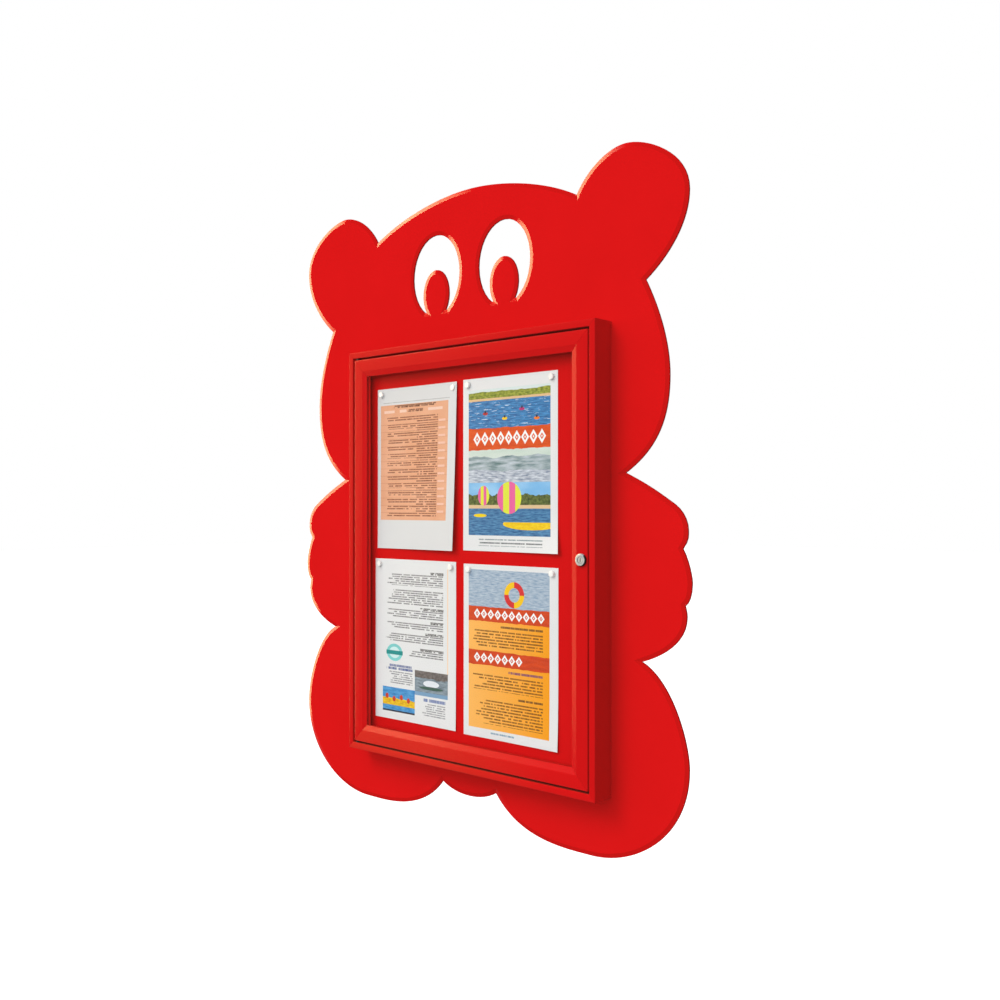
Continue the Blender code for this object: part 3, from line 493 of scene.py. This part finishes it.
def lake_poster():
    """Hills, small boats, an orange band, grey slopes, striped balloons and a yellow deck."""
    sheet = Print("print_lake_poster")
    left, right = 13.0, 195.0
    sheet.paint(sheet.box(left, right, 20, 270), linear(214, 226, 224))
    column = sheet.between(sheet.x, left, right)
    hills = sheet.rough_line(25.0, 5.0, 34.0, 1.0)
    green = sheet.both(column, sheet.between(sheet.y, hills, 37.0))
    sheet.dither(green, linear(84, 104, 32), linear(172, 178, 70), 6.0, 3.0, 3.0)
    shore = sheet.rough_line(36.0, 1.2, 30.0, 2.0)
    sheet.paint(sheet.both(column, sheet.between(sheet.y, shore, 40.0)), linear(224, 184, 136))
    water = sheet.both(column, sheet.between(sheet.y, 40.0, 88.0))
    sheet.dither(water, linear(14, 82, 140), linear(66, 148, 206), 16.0, 2.2, 5.0)
    crests = sheet.above(sheet.ripple(22.0, 1.6, 7.0, 3.0), 0.64)
    sheet.paint(sheet.both(water, crests), linear(206, 226, 238))
    for x, y, colour in ((52, 62, linear(178, 38, 40)), (96, 72, linear(240, 196, 30)),
                         (134, 58, linear(176, 36, 110)), (166, 75, linear(236, 120, 24))):
        sheet.paint(sheet.disc(x, y, 6.0, 2.6), colour)
        sheet.paint(sheet.disc(x, y - 3.2, 2.0, 2.2), linear(34, 40, 60))
    top = sheet.rough_line(87.0, 4.5, 26.0, 4.0)
    bottom = sheet.rough_line(124.0, 3.5, 20.0, 8.0)
    band = sheet.both(column, sheet.between(sheet.y, top, bottom))
    sheet.dither(band, linear(206, 64, 16), linear(226, 84, 22), 30.0, 6.0, 6.0)
    pennants(sheet, 24.0, 186.0, 105.0, 18.0, 8.6, 12.0)
    crest_line = sheet.rough_line(136.0, 9.0, 46.0, 12.0)
    mist = sheet.both(column, sheet.between(sheet.y, bottom, 180.0))
    sheet.dither(mist, linear(196, 212, 200), linear(214, 224, 216), 60.0, 20.0, 13.0)
    slopes = sheet.both(column, sheet.between(sheet.y, crest_line, 180.0))
    sheet.dither(slopes, linear(92, 122, 124), linear(196, 206, 214), 30.0, 5.0, 14.0, 6.0)
    front = sheet.rough_line(160.0, 8.0, 60.0, 16.0)
    near = sheet.both(column, sheet.between(sheet.y, front, 180.0))
    sheet.dither(near, linear(110, 124, 150), linear(222, 228, 234), 14.0, 3.0, 17.0, 6.0)
    sky = sheet.both(column, sheet.between(sheet.y, 180.0, 222.0))
    sheet.dither(sky, linear(108, 176, 226), linear(158, 206, 240), 60.0, 30.0, 18.0)
    trees = sheet.rough_line(201.0, 9.0, 16.0, 19.0)
    wood = sheet.both(column, sheet.between(sheet.y, trees, 221.0))
    sheet.dither(wood, linear(34, 52, 30), linear(112, 128, 64), 5.0, 5.0, 20.0)
    sheet.paint(sheet.both(column, sheet.between(sheet.y, 218.0, 224.0)), linear(222, 190, 146))
    lake = sheet.both(column, sheet.between(sheet.y, 224.0, 270.0))
    sheet.dither(lake, linear(22, 80, 130), linear(84, 146, 190), 14.0, 2.4, 21.0)
    balloon(sheet, 48, 202, 13, 17)
    balloon(sheet, 106, 206, 27, 27)
    sheet.paint(sheet.disc(40, 236, 15, 3.0), linear(238, 206, 22))
    deck = sheet.both(sheet.disc(152, 250, 60, 10), sheet.above(sheet.y, 247.0))
    deck = sheet.both(deck, column)
    sheet.dither(deck, linear(228, 178, 14), linear(248, 214, 30), 9.0, 4.0, 22.0)
    sheet.rows(36, 178, 276.0, 280.0, 4.0, 0.5, 4.0, linear(96, 120, 124), 61.0, 3.0)
    sheet.rows(36, 178, 281.5, 285.5, 4.0, 0.62, 4.0, linear(48, 66, 70), 65.0, 3.0)
    sheet.rows(36, 178, 287.0, 290.0, 3.0, 0.5, 4.0, linear(150, 160, 164), 69.0, 3.0)
    return sheet.finish(0.45)


def pennants(sheet, left, right, y, pitch, half_wide, half_high):
    """A row of white diamonds, each hollow with a dot in its middle."""
    along = sheet.math("DIVIDE", sheet.math("SUBTRACT", sheet.x, left), pitch)
    place = sheet.math("MULTIPLY", sheet.math("SUBTRACT", sheet.math("FRACT", along), 0.5), pitch)
    wide = sheet.math("DIVIDE", sheet.math("ABSOLUTE", place), half_wide)
    high = sheet.math("DIVIDE", sheet.math("ABSOLUTE", sheet.math("SUBTRACT", sheet.y, y)),
                      half_high)
    reach = sheet.math("ADD", wide, high)
    inside = sheet.both(sheet.between(reach, 0.48, 1.0), sheet.between(sheet.x, left, right))
    sheet.paint(inside, WHITE)
    heart = sheet.both(sheet.math("LESS_THAN", reach, 0.2), sheet.between(sheet.x, left, right))
    sheet.paint(heart, WHITE)


def balloon(sheet, x, y, half_wide, half_high):
    """An upright oval with pink and yellow stripes."""
    oval = sheet.disc(x, y, half_wide, half_high)
    across = sheet.math("DIVIDE", sheet.math("SUBTRACT", sheet.x, x - half_wide), half_wide * 0.5)
    stripe = sheet.math("FLOOR", across)
    odd = sheet.math("MODULO", stripe, 2.0)
    sheet.paint(sheet.both(oval, sheet.above(odd, 0.5)), linear(222, 228, 64))
    sheet.paint(sheet.both(oval, sheet.math("LESS_THAN", odd, 0.5)), linear(232, 96, 158))


def info_sheet():
    """Paragraphs of small print, a teal ring with a bar across and two small pictures."""
    sheet = Print("print_info_sheet")
    paragraphs = ((27, 48, 7), (56, 84, 5), (92, 108, 9), (116, 128, 11), (137, 152, 15),
                  (166, 178, 13))
    for i, (top, bottom, seed) in enumerate(paragraphs):
        left = 76 if i == 5 else 28
        sheet.rows(left, 178, top, bottom, 4.0, 0.55, 7.0, linear(88, 86, 90), 80.0 + seed, 30.0)
        if i != 1:
            sheet.rows(146 - 13 * (i % 3), 179, top - 5.6, top - 0.8, 2.4, 0.95, 5.0, BLACK,
                       90.0 + seed, 1.0)
    sheet.paint(sheet.box(188.5, 190.5, 14, 200), linear(244, 206, 160))
    sheet.paint(sheet.disc(52, 173, 21, 16), linear(124, 206, 204))
    sheet.paint(sheet.disc(52, 173, 14, 10.5), linear(206, 234, 233))
    sheet.paint(sheet.box(30, 74, 169.5, 177), linear(14, 140, 138))
    sheet.rows(30, 100, 195, 206, 5.5, 0.8, 6.0, linear(44, 74, 140), 120.0, 24.0)
    sheet.rows(36, 100, 208, 232, 4.0, 0.5, 4.0, linear(112, 112, 118), 125.0, 18.0)
    small_view(sheet, (106, 190, 200, 245))
    small_field(sheet, (20, 106, 238, 283))
    sheet.rows(122, 184, 249, 256, 7.0, 0.8, 6.0, linear(52, 92, 160), 131.0, 10.0)
    sheet.rows(122, 184, 258, 280, 4.0, 0.5, 4.0, linear(120, 120, 126), 135.0, 22.0)
    return sheet.finish(0.50)


def small_view(sheet, frame_box):
    """A grey bay below a dark hill, with one white peak."""
    left, right, top, bottom = frame_box
    area = sheet.box(*frame_box)
    sheet.dither(area, linear(96, 112, 124), linear(150, 166, 176), 12.0, 3.0, 30.0)
    hill = sheet.rough_line(top + 13.0, 5.0, 22.0, 31.0)
    land = sheet.both(area, sheet.math("LESS_THAN", sheet.y, hill))
    sheet.dither(land, linear(84, 78, 78), linear(124, 118, 116), 6.0, 5.0, 32.0)
    sheet.paint(sheet.both(area, sheet.disc(right - 42, top + 22, 20, 6)), linear(226, 230, 236))
    sheet.paint(sheet.both(area, sheet.disc(right - 42, top + 30, 30, 3)), linear(60, 92, 84))
    sheet.paint(sheet.box(left, right, bottom - 7, bottom), linear(120, 158, 190))


def small_field(sheet, frame_box):
    """A yellow field under a blue sky with red dots."""
    left, right, top, bottom = frame_box
    area = sheet.box(*frame_box)
    sheet.dither(area, linear(40, 120, 184), linear(88, 166, 218), 14.0, 4.0, 33.0)
    crop = sheet.rough_line(top + 20.0, 3.0, 18.0, 34.0)
    field = sheet.both(area, sheet.between(sheet.y, crop, bottom - 12.0))
    sheet.dither(field, linear(206, 150, 20), linear(246, 206, 40), 7.0, 3.0, 35.0)
    for i in range(4):
        sheet.paint(sheet.disc(left + 12 + 19 * i, top + 17 + 4 * (i % 2), 4.2, 5.0),
                    linear(200, 60, 40))
    sheet.paint(sheet.box(left, right, bottom - 3, bottom), linear(26, 40, 60))


def amber_poster():
    """A pale lake with a two-coloured ring, over an amber page with two brushed bands."""
    sheet = Print("print_amber_poster")
    left, right = 12.0, 192.0
    column = sheet.between(sheet.x, left, right)
    water = sheet.both(column, sheet.between(sheet.y, 9.0, 74.0))
    sheet.dither(water, linear(128, 152, 180), linear(190, 204, 214), 12.0, 2.0, 41.0)
    ring = sheet.ring(116, 49, 22, 12)
    sheet.paint(ring, linear(246, 196, 24))
    upper_right = sheet.both(sheet.above(sheet.x, 116.0), sheet.math("LESS_THAN", sheet.y, 49.0))
    sheet.paint(sheet.both(ring, upper_right), linear(212, 44, 48))
    lower_left = sheet.both(sheet.math("LESS_THAN", sheet.x, 116.0), sheet.above(sheet.y, 49.0))
    sheet.paint(sheet.both(ring, lower_left), linear(212, 44, 48))
    page = sheet.both(column, sheet.between(sheet.y, 84.0, 281.0))
    warmth = sheet.math("DIVIDE", sheet.math("SUBTRACT", sheet.x, left), right - left)
    sheet.paint(page, blend_colours(sheet.tree, warmth, linear(250, 182, 92),
                                    linear(244, 156, 16)))
    for top, bottom, seed in ((72.0, 97.0, 42.0), (147.0, 172.0, 52.0)):
        upper = sheet.rough_line(top, 2.5, 24.0, seed)
        lower = sheet.rough_line(bottom, 2.5, 18.0, seed + 4.0)
        band = sheet.both(column, sheet.between(sheet.y, upper, lower))
        sheet.dither(band, linear(196, 58, 26), linear(216, 72, 26), 30.0, 5.0, seed + 6.0)
        pennants(sheet, 24.0, 182.0 if top < 100 else 134.0, (top + bottom) / 2, 15.8, 7.4, 8.6)
    dark = linear(96, 58, 24)
    sheet.rows(84, 178, 103, 108, 5.0, 0.7, 3.4, BLACK, 141.0, 4.0)
    sheet.rows(22, 178, 112, 142, 5.0, 0.5, 4.5, dark, 145.0, 14.0)
    sheet.rows(100, 178, 178, 184, 6.0, 0.66, 3.4, linear(84, 40, 110), 151.0, 4.0)
    sheet.rows(22, 178, 188, 214, 5.0, 0.5, 4.5, dark, 155.0, 26.0)
    sheet.rows(124, 178, 222, 227, 5.0, 0.7, 3.4, BLACK, 161.0, 4.0)
    sheet.rows(22, 178, 231, 272, 5.0, 0.5, 4.5, dark, 165.0, 40.0)
    sheet.rows(62, 116, 285.5, 290.5, 5.0, 0.6, 3.0, linear(110, 150, 176), 171.0, 2.0)
    return sheet.finish(0.48)


# sheets


def bent(x, z, lift, reach, lean):
    """Depth of a point on a sheet whose lower right corner lifts forward.

    x and z count in millimetres from the lower right corner, to the left and up.
    """
    along = reach - (x * math.cos(lean) + z * math.sin(lean))
    if along <= 0:
        return 0.0
    share = along / reach
    return lift * share * share


def sheet_points(node, lift, reach, lean, drawn_in):
    """Back points of a curled sheet, row by row, and their places on the flat sheet."""
    low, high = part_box(node)
    columns, rows = sheet_grid()
    back_y = high.y - SHEET_OFF * MM
    points, corners = [], []
    for j in range(rows + 1):
        for i in range(columns + 1):
            x = SHEET_WIDE * i / columns
            down = SHEET_HIGH * j / rows
            depth = bent(SHEET_WIDE - x, SHEET_HIGH - down, lift, reach, lean)
            pull = drawn_in * depth / lift
            depth += 0.35 * math.sin(0.031 * x + 0.7) ** 2 * (down / SHEET_HIGH)
            points.append(Vector((low.x + (x - pull) * MM, back_y - depth * MM,
                                  high.z - down * MM)))
            corners.append((i / columns, j / rows))
    return points, corners


def sheet_grid():
    return round(SHEET_WIDE / SHEET_STEP), round(SHEET_HIGH / SHEET_STEP)


def sheet_faces(columns, rows, offset):
    """Faces of a sheet's two sides and its rim; the back's points follow the front's."""
    side = columns + 1
    faces = []
    for j in range(rows):
        for i in range(columns):
            a = j * side + i
            faces.append((a, a + side, a + side + 1, a + 1))
            faces.append((offset + a, offset + a + 1, offset + a + side + 1, offset + a + side))
    rim = list(range(columns))
    rim += [columns + j * side for j in range(rows)]
    rim += [rows * side + columns - i for i in range(columns)]
    rim += [(rows - j) * side for j in range(rows)]
    for first, second in zip(rim, rim[1:] + rim[:1]):
        faces.append((first, second, second + offset, first + offset))
    return faces


def notice(node, print_material, lift, reach, lean, drawn_in):
    """A thin curled sheet in place of a flat one, its lifted corner drawn in a little."""
    back, corners = sheet_points(node, lift, reach, lean, drawn_in)
    front = [place - Vector((0, SHEET_THICK * MM, 0)) for place in back]
    offset = len(front)
    mesh = bpy.data.meshes.new("sheet_" + node)
    mesh.from_pydata(front + back, [], sheet_faces(*sheet_grid(), offset))
    layer = mesh.uv_layers.new(name="flat")
    for loop in mesh.loops:
        layer.data[loop.index].uv = corners[loop.vertex_index % offset]
    mesh.polygons.foreach_set("use_smooth", [True] * len(mesh.polygons))
    mesh.set_sharp_from_angle(angle=math.radians(40))
    mesh.materials.append(print_material)
    mesh.materials.append(blank_paper)
    for polygon in mesh.polygons:
        if min(polygon.vertices) >= offset:
            polygon.material_index = 1
    thing = bpy.data.objects.new("sheet_" + node, mesh)
    bpy.context.scene.collection.objects.link(thing)
    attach(thing, "case")
    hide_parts(node)


def paper_back():
    material, tree, shader = fresh_material("paper_back")
    fibres = noise(tree, object_place(tree), 320.0, 2.0)
    tree.links.new(blend_colours(tree, spread(tree, fibres, 0.0, 1.0), linear(228, 228, 226),
                                 linear(238, 238, 236)), shader.inputs["Base Color"])
    tree.links.new(spread(tree, fibres, 0.55, 0.65), shader.inputs["Roughness"])
    return material


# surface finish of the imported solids


def smooth_faces_tree(name, sharp_angle):
    """Weld the solid, shade it smooth and keep the edges above an angle sharp."""
    group = bpy.data.node_groups.new(name, "GeometryNodeTree")
    group.interface.new_socket("Geometry", in_out="INPUT", socket_type="NodeSocketGeometry")
    group.interface.new_socket("Geometry", in_out="OUTPUT", socket_type="NodeSocketGeometry")
    start = group.nodes.new("NodeGroupInput")
    end = group.nodes.new("NodeGroupOutput")
    weld = group.nodes.new("GeometryNodeMergeByDistance")
    weld.inputs["Distance"].default_value = 0.000002
    plain = group.nodes.new("GeometryNodeRemoveAttribute")
    plain.inputs["Name"].default_value = "custom_normal"
    smooth = group.nodes.new("GeometryNodeSetShadeSmooth")
    smooth.domain = "FACE"
    sharp = group.nodes.new("GeometryNodeSetShadeSmooth")
    sharp.domain = "EDGE"
    sharp.inputs["Shade Smooth"].default_value = False
    angle = group.nodes.new("GeometryNodeInputMeshEdgeAngle")
    steep = group.nodes.new("FunctionNodeCompare")
    steep.inputs["B"].default_value = math.radians(sharp_angle)
    group.links.new(angle.outputs["Unsigned Angle"], steep.inputs["A"])
    group.links.new(start.outputs[0], weld.inputs["Geometry"])
    group.links.new(weld.outputs["Geometry"], plain.inputs["Geometry"])
    group.links.new(plain.outputs["Geometry"], smooth.inputs["Geometry"])
    group.links.new(smooth.outputs["Geometry"], sharp.inputs["Geometry"])
    group.links.new(steep.outputs["Result"], sharp.inputs["Selection"])
    group.links.new(sharp.outputs["Geometry"], end.inputs[0])
    return group


def dress(node, material, shade_group, edge):
    """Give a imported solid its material, smooth shading and slightly broken edges."""
    solid = frame["nodes"][node]
    for holder in solid.material_slots:
        holder.material = material
    weld = solid.modifiers.new("weld_and_shade", "NODES")
    weld.node_group = shade_group
    if edge:
        round_off = solid.modifiers.new("broken_edges", "BEVEL")
        round_off.width = edge * MM
        round_off.segments = 2
        round_off.limit_method = "ANGLE"
        round_off.angle_limit = math.radians(BROKEN_ANGLE)
        round_off.harden_normals = True
        round_off.use_clamp_overlap = True


def slot_materials(red):
    """The material of each slot of the record."""
    drawn = metal("drawn_aluminium", (0.62, 0.63, 0.64, 1), 0.38, (1, 1, 0.04), 900.0, 0.10)
    zinc = metal("zinc_plate", (0.58, 0.58, 0.57, 1), 0.34, (1, 1, 1), 500.0, 0.05)
    plated = metal("chrome_plate", (0.74, 0.75, 0.75, 1), 0.20, (1, 1, 1), 700.0, 0.02)
    foam = moulded("foam_rubber", (0.016, 0.016, 0.017, 1), (0.030, 0.030, 0.031, 1), 0.8,
                   1100.0, 0.5, gloss=0.1)
    nylon = moulded("black_nylon", (0.022, 0.022, 0.024, 1), (0.036, 0.036, 0.038, 1), 0.5,
                    700.0, 0.2, gloss=0.05)
    cap = moulded("magnet_cap", (0.80, 0.80, 0.79, 1), (0.87, 0.87, 0.86, 1), 0.32,
                  500.0, 0.05)
    return {"plain_aluminium": drawn, "zinc_steel": zinc, "chrome": plated,
            "black_rubber": foam, "black_nylon": nylon, "white_plastic": cap,
            "clear_sheet": clear_pane(), "red_paint": red}


def own_materials():
    """The materials of single pieces that differ from their slot's."""
    # the lower bars are a lighter red with painted sheen, a painted highlight that fades to the
    # right
    lower = red_paint("red_painted_sheen", 0.97, bevel_gloss=0.064, painted_sheen=0.030)
    sheet = red_paint("red_back_sheet", 0.95, 0.004, 0.004, 0.30, glow=0.0060)
    plate = red_paint("red_plate", 1.0, 0.0, 0.22, 0.16, milled=True)
    # painted light: the left glazing bead is a lighter, more glowing copy of the red, to lift the
    # shade inside the case's left edge
    bead_painted_light = red_paint("red_bead_painted_light", 1.45, glow=0.0100)
    # painted shade: the pivot pins are near black, standing in for the shade in the door's gap
    shaded_pins = metal("pin_steel_painted_shade", (0.012, 0.012, 0.012, 1), 0.45, (1, 1, 1), 500.0, 0.05)
    return {"bear_panel": plate, "door_bar_bottom": lower, "case_bar_bottom": lower,
            "back_sheet": sheet, "glazing_bead_left": bead_painted_light,
            "pivot_pin_upper": shaded_pins, "pivot_pin_lower": shaded_pins,
            "lock_housing": lock_metal("lock_ring", (0.34, 0.39, 0.43, 1)),
            "lock_plug": lock_metal("lock_face", (0.44, 0.48, 0.50, 1))}


def dress_everything():
    red = red_paint("red_powder_coat", 0.88, glow=0.0055)
    by_slot, own = slot_materials(red), own_materials()
    edges = {"bear_panel": PLATE_EDGE, "back_sheet": 0.0, "door_pane": PANE_EDGE}
    solid_group = smooth_faces_tree("weld_and_shade", SHARP_ANGLE)
    plate_group = smooth_faces_tree("weld_and_shade_plate", PLATE_SHARP_ANGLE)
    for part in frame["record"]["subparts"]:
        node, slot = part["node"], part["material_slot"]
        if node.startswith("notice_"):
            continue
        edge = edges.get(node, BROKEN_EDGE if slot == "red_paint" else 0.0)
        group = plate_group if node == "bear_panel" else solid_group
        dress(node, own.get(node, by_slot[slot]), group, edge)


# surroundings


def gloss_light(name, azimuth, elevation, wide, high, radiance):
    """A panel of light that shows in glossy surfaces only; azimuth 0 is straight in front."""
    lamp = bpy.data.lights.new(name, "AREA")
    lamp.shape = "RECTANGLE"
    lamp.size = wide
    lamp.size_y = high
    lamp.energy = radiance * math.pi * wide * high
    lamp.color = WARM
    thing = bpy.data.objects.new(name, lamp)
    bpy.context.scene.collection.objects.link(thing)
    turn, rise = math.radians(azimuth), math.radians(elevation)
    away = Vector((math.cos(rise) * math.sin(turn), -math.cos(rise) * math.cos(turn),
                   math.sin(rise)))
    thing.location = Vector(BOX_AIM) + BOX_AWAY * away
    thing.rotation_euler = (-away).to_track_quat("-Z", "Y").to_euler()
    thing.visible_diffuse = False


def lights():
    sun = bpy.data.lights.new("key", "SUN")
    sun.energy = KEY_POWER
    sun.angle = math.radians(KEY_ANGLE)
    key = bpy.data.objects.new("key", sun)
    bpy.context.scene.collection.objects.link(key)
    key.rotation_euler = (-Vector(KEY_FROM)).to_track_quat("-Z", "Y").to_euler()
    key.visible_glossy = False
    gloss_light("inner_box", *INNER_BOX)
    gloss_light("outer_box", *OUTER_BOX)


def sky():
    """White to the camera; to all else a soft light, strongest from the upper front."""
    world = bpy.data.worlds.new("studio")
    bpy.context.scene.world = world
    world.use_nodes = True
    tree = world.node_tree
    tree.nodes.clear()
    output = tree.nodes.new("ShaderNodeOutputWorld")
    seen, lit = (tree.nodes.new("ShaderNodeBackground") for _ in range(2))
    for background in (seen, lit):
        background.inputs["Color"].default_value = (1, 1, 1, 1)
    share = tree.nodes.new("ShaderNodeVectorMath")
    share.operation = "DOT_PRODUCT"
    tree.links.new(tree.nodes.new("ShaderNodeTexCoord").outputs["Generated"], share.inputs[0])
    share.inputs[1].default_value = SKY_TOWARDS
    towards = share.outputs["Value"]
    glow = calculate(tree, "MULTIPLY_ADD", calculate(tree, "MAXIMUM", towards, 0), SKY_GLOW,
                     SKY_ALL)
    rear = calculate(tree, "MAXIMUM", calculate(tree, "MULTIPLY", towards, -1), 0)
    tree.links.new(calculate(tree, "MULTIPLY_ADD", rear, SKY_REAR, glow), lit.inputs["Strength"])
    mix = tree.nodes.new("ShaderNodeMixShader")
    tree.links.new(tree.nodes.new("ShaderNodeLightPath").outputs["Is Camera Ray"],
                   mix.inputs["Fac"])
    tree.links.new(lit.outputs["Background"], mix.inputs[1])
    tree.links.new(seen.outputs["Background"], mix.inputs[2])
    tree.links.new(mix.outputs["Shader"], output.inputs["Surface"])
    bpy.context.scene.view_settings.view_transform = "Standard"


def floor():
    """A plain pale floor that fades into the white surroundings."""
    mesh = bpy.data.meshes.new("floor")
    half = FLOOR_HALF
    mesh.from_pydata([(-half, -half, FLOOR_Z), (half, -half, FLOOR_Z), (half, half, FLOOR_Z),
                      (-half, half, FLOOR_Z)], [], [(0, 1, 2, 3)])
    thing = bpy.data.objects.new("floor", mesh)
    bpy.context.scene.collection.objects.link(thing)
    material, tree, shader = fresh_material("floor")
    place = split_vector(tree, object_place(tree))
    x, y = place.outputs["X"], place.outputs["Y"]
    reach = calculate(tree, "SQRT", calculate(tree, "ADD", calculate(tree, "MULTIPLY", x, x),
                                              calculate(tree, "MULTIPLY", y, y)))
    glow = tree.nodes.new("ShaderNodeMapRange")
    tree.links.new(reach, glow.inputs["Value"])
    glow.inputs["From Min"].default_value = FLOOR_NEAR
    glow.inputs["From Max"].default_value = FLOOR_FAR
    glow.inputs["To Min"].default_value = FLOOR_MIDDLE
    seen = tree.nodes.new("ShaderNodeLightPath").outputs["Is Camera Ray"]
    share = calculate(tree, "MULTIPLY_ADD", seen, 0.95, 0.02)
    tree.links.new(calculate(tree, "MULTIPLY", glow.outputs["Result"], share),
                   shader.inputs["Emission Strength"])
    shader.inputs["Emission Color"].default_value = (1, 1, 1, 1)
    shader.inputs["Base Color"].default_value = FLOOR_GREY
    shader.inputs["Roughness"].default_value = 0.9
    shader.inputs["Specular IOR Level"].default_value = 0.0
    mesh.materials.append(material)


def camera():
    lens = bpy.data.cameras.new("camera")
    lens.lens = CAMERA_LENS
    lens.sensor_width = 36.0
    lens.shift_y = CAMERA_SHIFT_Y
    lens.clip_start = 0.05
    thing = bpy.data.objects.new("camera", lens)
    bpy.context.scene.collection.objects.link(thing)
    thing.location = CAMERA_PLACE
    thing.rotation_euler = (math.radians(90), 0, math.radians(CAMERA_YAW))
    bpy.context.scene.camera = thing


camera()
sky()
floor()
lights()
dress_everything()
blank_paper = paper_back()
notice("notice_upper_left", price_list(), *CURL_UPPER_LEFT)
notice("notice_upper_right", lake_poster(), *CURL_UPPER_RIGHT)
notice("notice_lower_left", info_sheet(), *CURL_LOWER_LEFT)
notice("notice_lower_right", amber_poster(), *CURL_LOWER_RIGHT)
